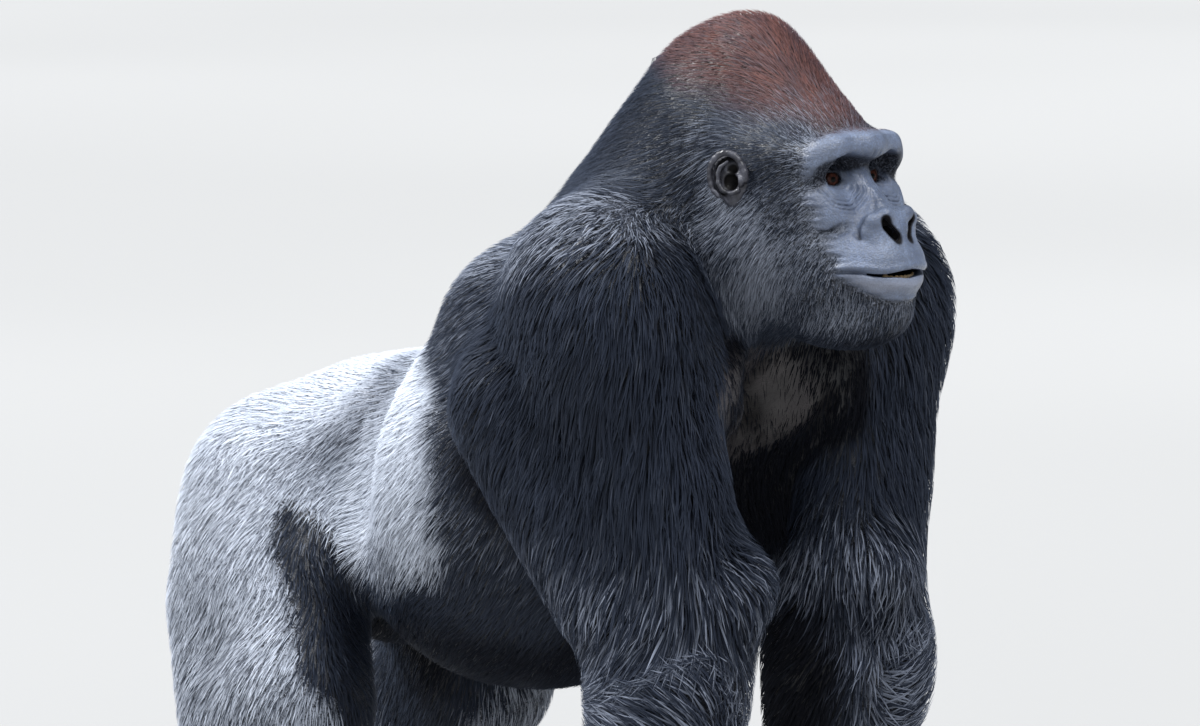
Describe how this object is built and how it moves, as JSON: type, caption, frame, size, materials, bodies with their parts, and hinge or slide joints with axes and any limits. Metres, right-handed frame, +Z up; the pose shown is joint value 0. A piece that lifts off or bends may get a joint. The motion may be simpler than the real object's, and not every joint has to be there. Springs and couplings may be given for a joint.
{
  "type": "gorilla",
  "caption": "Adult male lowland gorilla standing on all fours on its knuckles and soles, head held up and turned ahead, silver back, black arms.",
  "frame": {"origin": "on the floor, at the centre of the bounding box seen from above", "axes": "+Z up; the face looks towards -Y, turned slightly to the animal's left; +X is the animal's own left side"},
  "size_m": [0.6399, 1.1192, 1.1916],
  "materials": {
    "head_coat": "short dense fur, chestnut on the crown, grizzled black on neck and cheeks, with bare black leathery skin on the face",
    "black_coat": "long shaggy black fur with a cool sheen on shoulders and arms",
    "silver_coat": "short flat silver-grey fur on back, rump and thighs",
    "bare_skin": "bare black wrinkled skin of hands, feet and ears",
    "eye": "wet brown eye with a clear cornea",
    "nail": "dull black horn"
  },
  "bodies": {
    "root": {"abdomen": "silver_coat", "chest": "black_coat", "ear_left": "bare_skin", "ear_right": "bare_skin", "eye_left": "eye", "eye_right": "eye", "foot_left": "bare_skin", "foot_right": "bare_skin", "forearm_left": "black_coat", "forearm_right": "black_coat", "hand_left": "bare_skin", "hand_right": "bare_skin", "head": "head_coat", "lower_leg_left": "black_coat", "lower_leg_right": "black_coat", "nail_finger_left_1": "nail", "nail_finger_left_2": "nail", "nail_finger_left_3": "nail", "nail_finger_left_4": "nail", "nail_finger_left_5": "nail", "nail_finger_right_1": "nail", "nail_finger_right_2": "nail", "nail_finger_right_3": "nail", "nail_finger_right_4": "nail", "nail_finger_right_5": "nail", "nail_toe_left_1": "nail", "nail_toe_left_2": "nail", "nail_toe_left_3": "nail", "nail_toe_left_4": "nail", "nail_toe_left_5": "nail", "nail_toe_right_1": "nail", "nail_toe_right_2": "nail", "nail_toe_right_3": "nail", "nail_toe_right_4": "nail", "nail_toe_right_5": "nail", "neck": "head_coat", "pelvis": "silver_coat", "thigh_left": "silver_coat", "thigh_right": "silver_coat", "upper_arm_left": "black_coat", "upper_arm_right": "black_coat"}
  },
  "joints": []
}
